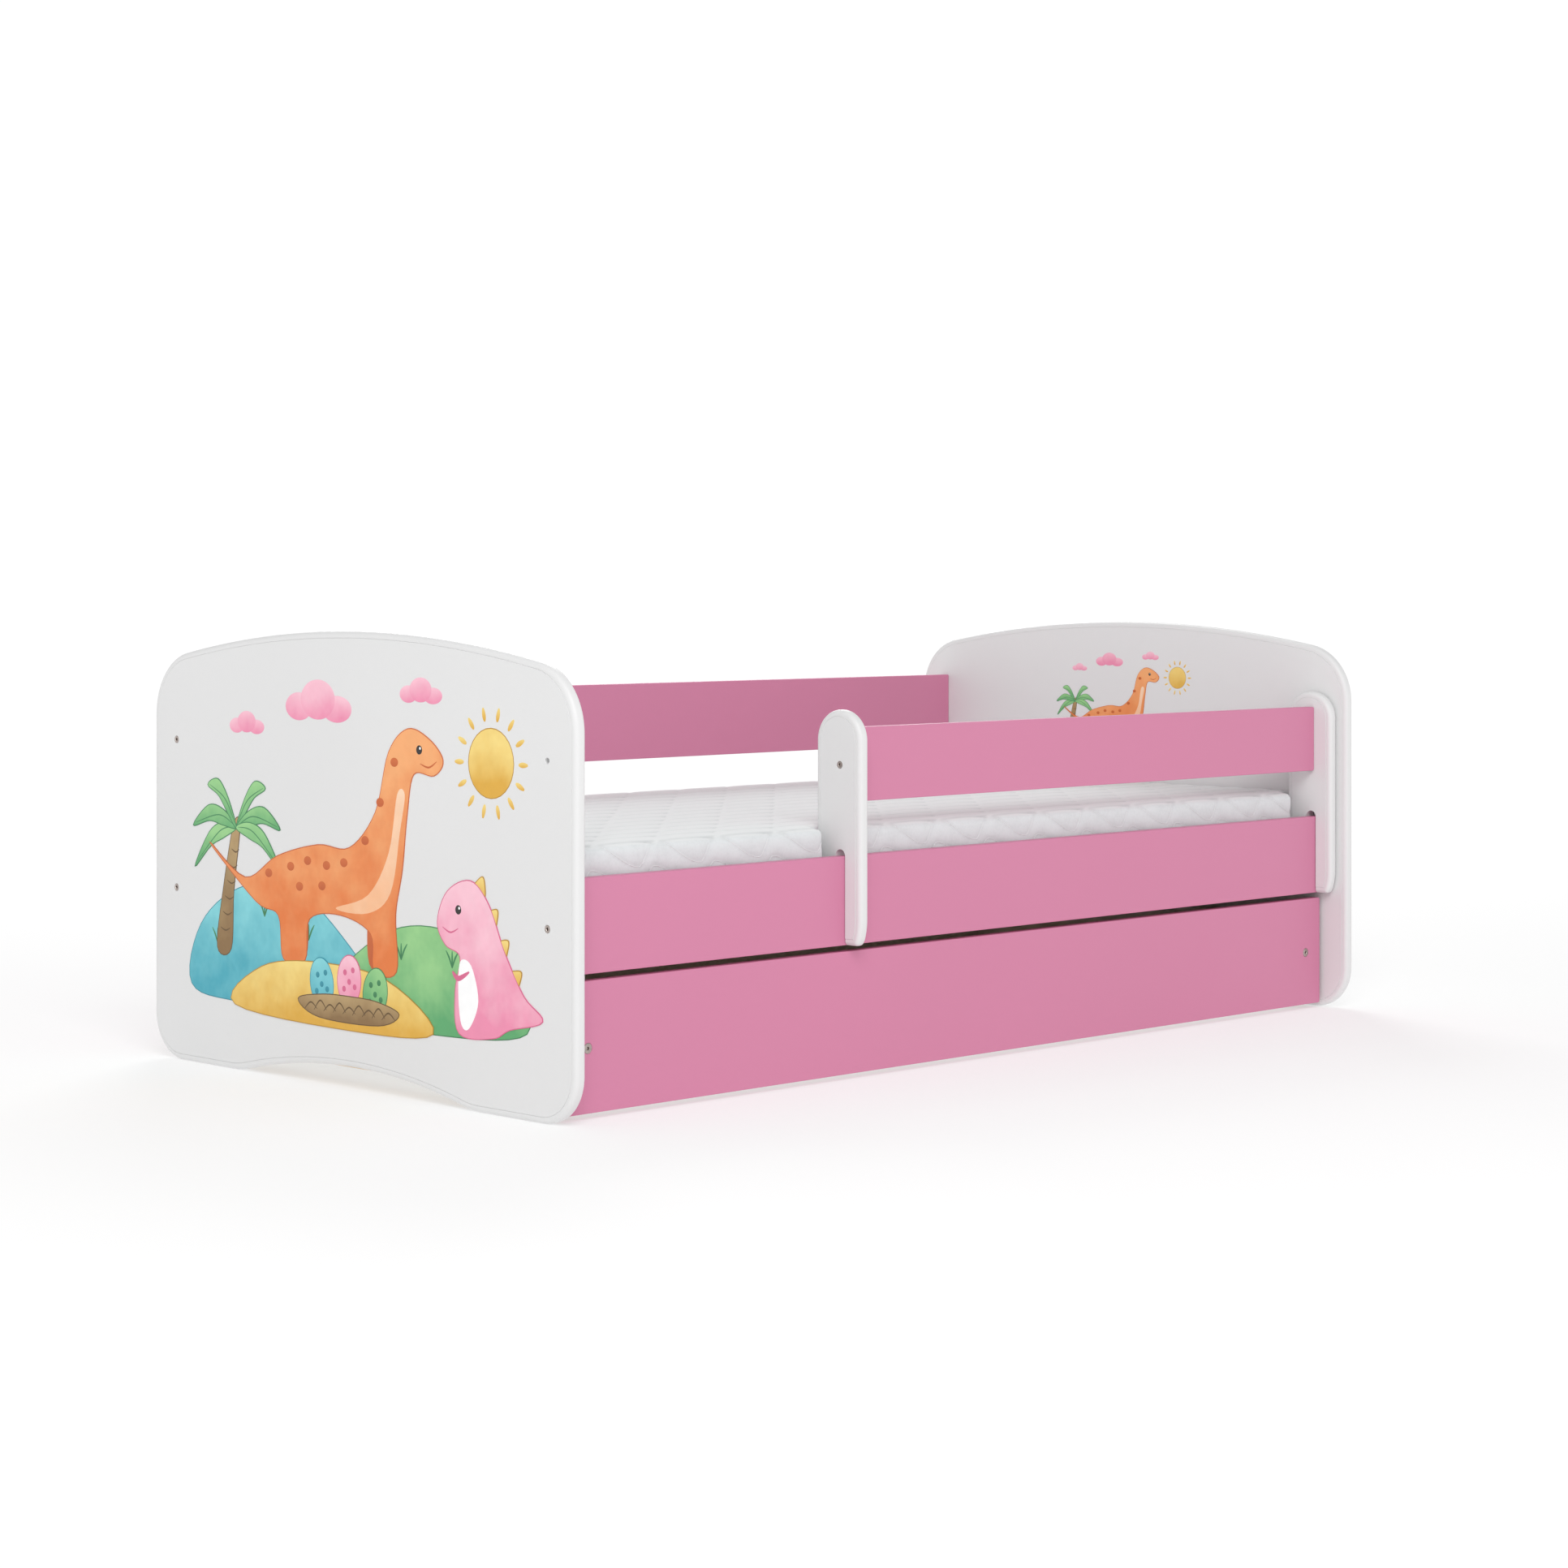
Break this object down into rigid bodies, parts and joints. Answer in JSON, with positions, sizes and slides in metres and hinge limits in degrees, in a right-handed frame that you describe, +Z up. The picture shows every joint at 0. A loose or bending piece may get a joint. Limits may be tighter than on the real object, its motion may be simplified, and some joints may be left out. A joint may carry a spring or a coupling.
{
  "type": "toddler bed",
  "caption": "Low child's bed with arched end panels, side rails, lift-off guard rail, full-width drawer on roller runners, slatted base and quilted mattress.",
  "frame": {"origin": "on the floor, under the middle of the bed", "axes": "+X along the bed towards the head end, +Y from the open front side to the back, +Z up"},
  "size_m": [1.64, 0.91, 0.6105],
  "materials": {
    "white_board": "satin white lacquer",
    "pink_board": "satin pink foil",
    "drawer_board": "matt white foil",
    "hardboard": "matt painted hardboard",
    "bare_wood": "planed softwood",
    "screw_metal": "dull nickel plating",
    "runner_metal": "white powder coat",
    "roller_nylon": "smooth nylon",
    "mattress_cover": "quilted knit"
  },
  "bodies": {
    "frame": {"foot_end_panel": "white_board", "head_end_panel": "white_board", "front_side_rail": "pink_board", "back_side_rail": "pink_board", "back_upper_rail": "pink_board", "front_side_rail_screw_foot": "screw_metal", "front_side_rail_screw_head": "screw_metal", "back_side_rail_screw_foot": "screw_metal", "back_side_rail_screw_head": "screw_metal", "back_upper_rail_screw_foot": "screw_metal", "back_upper_rail_screw_head": "screw_metal", "front_side_rail_dowel_foot": "bare_wood", "front_side_rail_dowel_head": "bare_wood", "back_side_rail_dowel_foot": "bare_wood", "back_side_rail_dowel_head": "bare_wood", "back_upper_rail_dowel_foot": "bare_wood", "back_upper_rail_dowel_head": "bare_wood", "slat_batten_front": "bare_wood", "slat_batten_back": "bare_wood", "slat_01": "bare_wood", "slat_02": "bare_wood", "slat_03": "bare_wood", "slat_04": "bare_wood", "slat_05": "bare_wood", "slat_06": "bare_wood", "slat_07": "bare_wood", "slat_08": "bare_wood", "slat_09": "bare_wood", "slat_10": "bare_wood", "slat_11": "bare_wood", "slat_12": "bare_wood", "slat_13": "bare_wood", "runner_spacer_foot": "bare_wood", "runner_spacer_head": "bare_wood", "cabinet_runner_foot": "runner_metal", "cabinet_runner_head": "runner_metal"},
    "guard": {"guard_board": "pink_board", "guard_post_middle": "white_board", "guard_post_head": "white_board", "guard_screw_middle": "screw_metal", "guard_screw_head": "screw_metal", "guard_dowel_middle": "bare_wood", "guard_dowel_head": "bare_wood"},
    "drawer": {"drawer_front": "pink_board", "drawer_back": "drawer_board", "drawer_bottom": "hardboard", "drawer_side_foot": "drawer_board", "drawer_side_head": "drawer_board", "drawer_front_screw_foot": "screw_metal", "drawer_front_screw_head": "screw_metal", "drawer_back_screw_foot": "screw_metal", "drawer_back_screw_head": "screw_metal", "drawer_runner_foot": "runner_metal", "drawer_runner_head": "runner_metal"},
    "mattress": {"mattress": "mattress_cover"},
    "front_roller_foot": {"front_roller_foot": "roller_nylon"},
    "rear_roller_foot": {"rear_roller_foot": "roller_nylon"},
    "front_roller_head": {"front_roller_head": "roller_nylon"},
    "rear_roller_head": {"rear_roller_head": "roller_nylon"}
  },
  "joints": [
    {"name": "drawer_slide", "type": "slide", "parent": "frame", "child": "drawer", "axis": [0, -1, 0], "range_m": [0, 0.45]},
    {"name": "guard_lift", "type": "slide", "parent": "frame", "child": "guard", "axis": [0, 0, 1], "range_m": [0, 0.14]},
    {"name": "mattress_lift", "type": "slide", "parent": "frame", "child": "mattress", "axis": [0, 0, 1], "range_m": [0, 0.25]},
    {"name": "front_roller_spin_foot", "type": "hinge", "parent": "frame", "child": "front_roller_foot", "pos_m": [-0.7746, -0.371, 0.0517], "axis": [1, 0, 0], "range_deg": [0, 2580]},
    {"name": "rear_roller_spin_foot", "type": "hinge", "parent": "drawer", "child": "rear_roller_foot", "pos_m": [-0.7719, 0.245, 0.0515], "axis": [1, 0, 0], "range_deg": [0, 2580]},
    {"name": "front_roller_spin_head", "type": "hinge", "parent": "frame", "child": "front_roller_head", "pos_m": [0.7746, -0.371, 0.0517], "axis": [1, 0, 0], "range_deg": [0, 2580]},
    {"name": "rear_roller_spin_head", "type": "hinge", "parent": "drawer", "child": "rear_roller_head", "pos_m": [0.7719, 0.245, 0.0515], "axis": [1, 0, 0], "range_deg": [0, 2580]}
  ],
  "couplings": [
    {"joint": "front_roller_spin_foot", "follows": "drawer_slide", "rad_per_m": 100},
    {"joint": "rear_roller_spin_foot", "follows": "drawer_slide", "rad_per_m": 100},
    {"joint": "front_roller_spin_head", "follows": "drawer_slide", "rad_per_m": 100},
    {"joint": "rear_roller_spin_head", "follows": "drawer_slide", "rad_per_m": 100}
  ]
}
